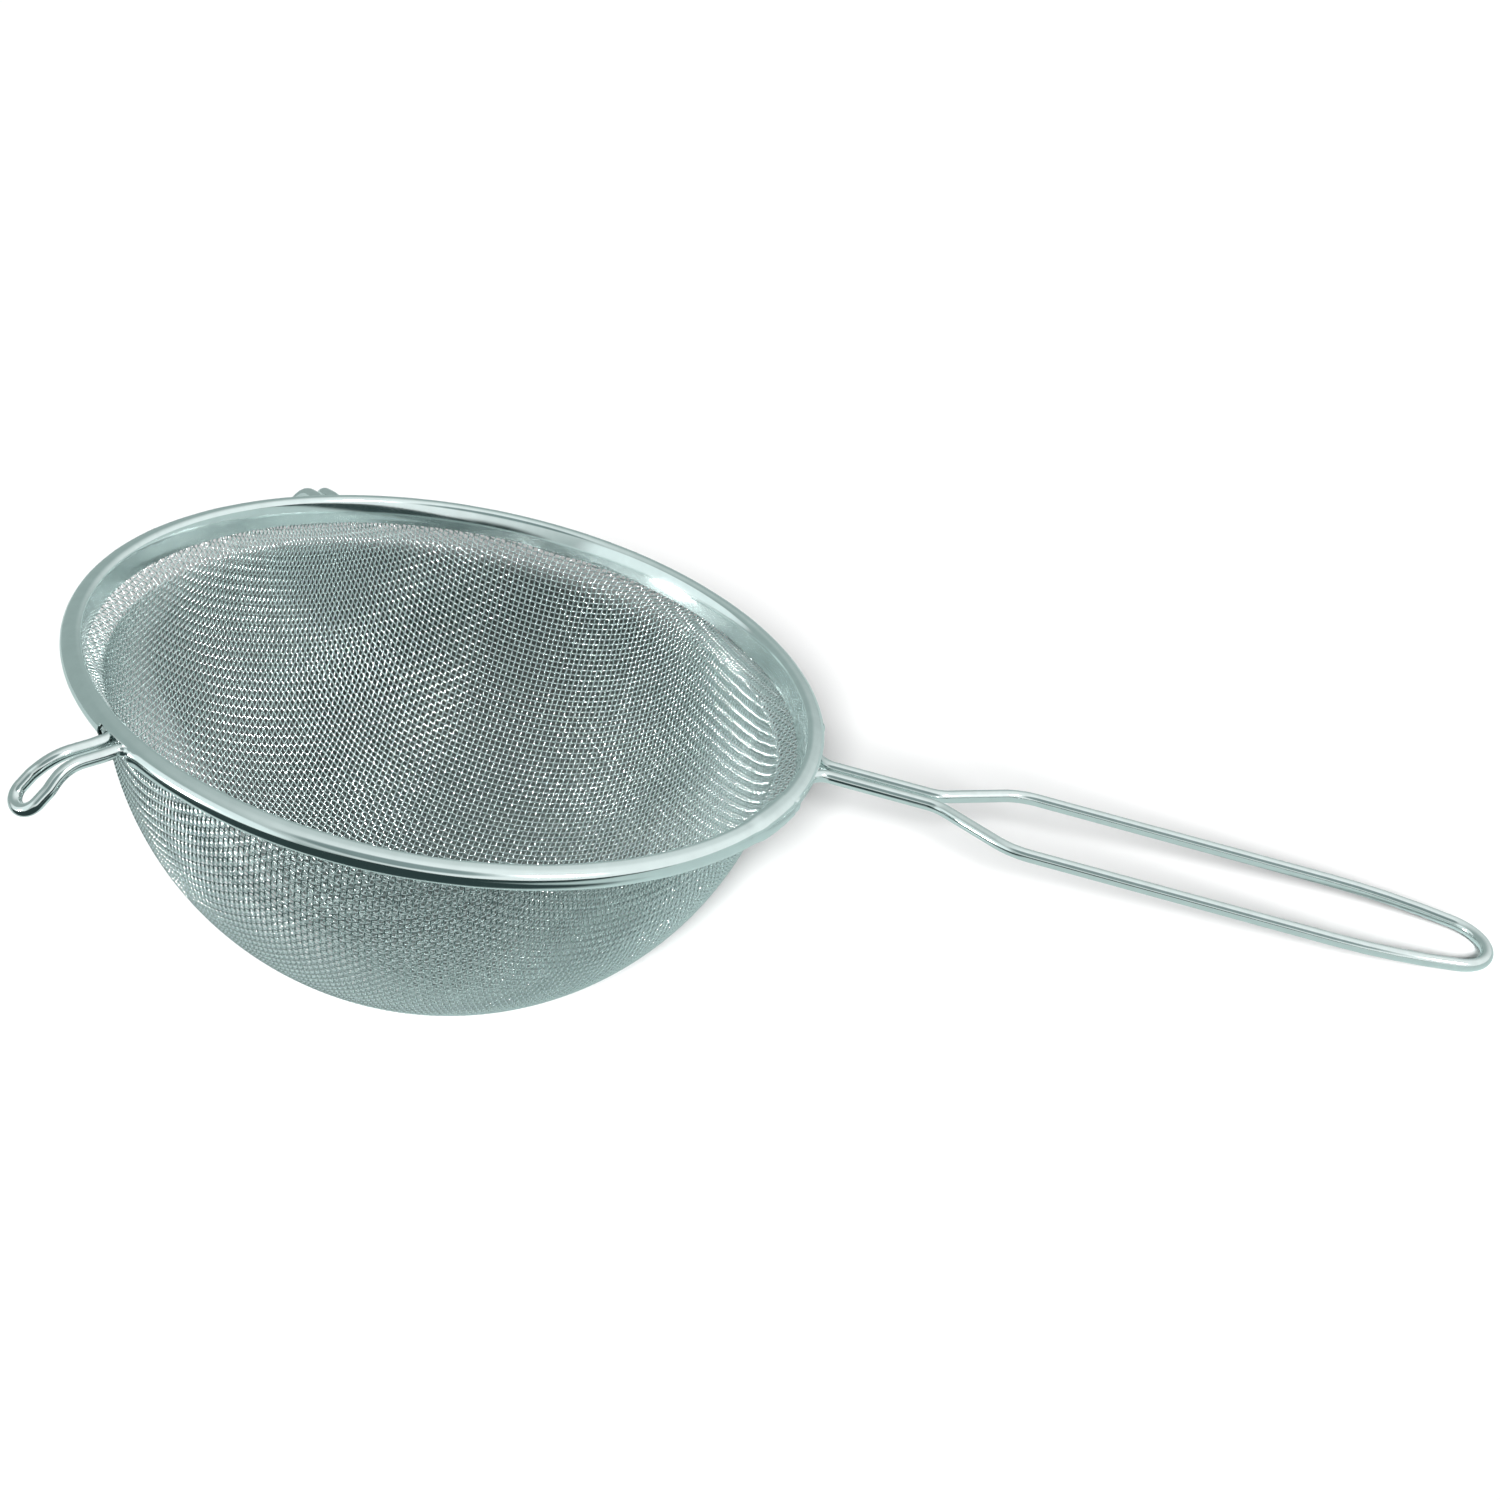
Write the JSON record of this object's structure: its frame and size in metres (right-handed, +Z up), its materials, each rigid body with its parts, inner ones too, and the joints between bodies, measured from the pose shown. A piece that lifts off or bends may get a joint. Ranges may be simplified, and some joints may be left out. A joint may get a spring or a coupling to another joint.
{
  "type": "hand strainer",
  "caption": "Round-bottomed hand strainer of woven wire cloth with a rolled rim band, a wire loop handle and wire rests that hang it on a pot.",
  "frame": {"origin": "point of the table under the middle of the ball-shaped bowl, with the strainer lying on the bowl's bottom and the handle's end", "axes": "+X along the table from the bowl towards the handle's end, +Z up from the table, +Y to the left when looking along the handle"},
  "size_m": [0.323, 0.1804, 0.1127],
  "materials": {
    "wire_cloth": "plain woven stainless wire cloth",
    "band_steel": "bright rolled stainless strip",
    "wire_steel": "electropolished stainless wire"
  },
  "bodies": {
    "root": {"mesh_bowl": "wire_cloth", "rim_band": "band_steel", "handle_wire": "wire_steel", "rest_hook_left": "wire_steel", "rest_hook_right": "wire_steel", "hoop_wire_left": "wire_steel", "hoop_wire_right": "wire_steel", "hoop_wire_rear": "wire_steel"}
  },
  "joints": []
}
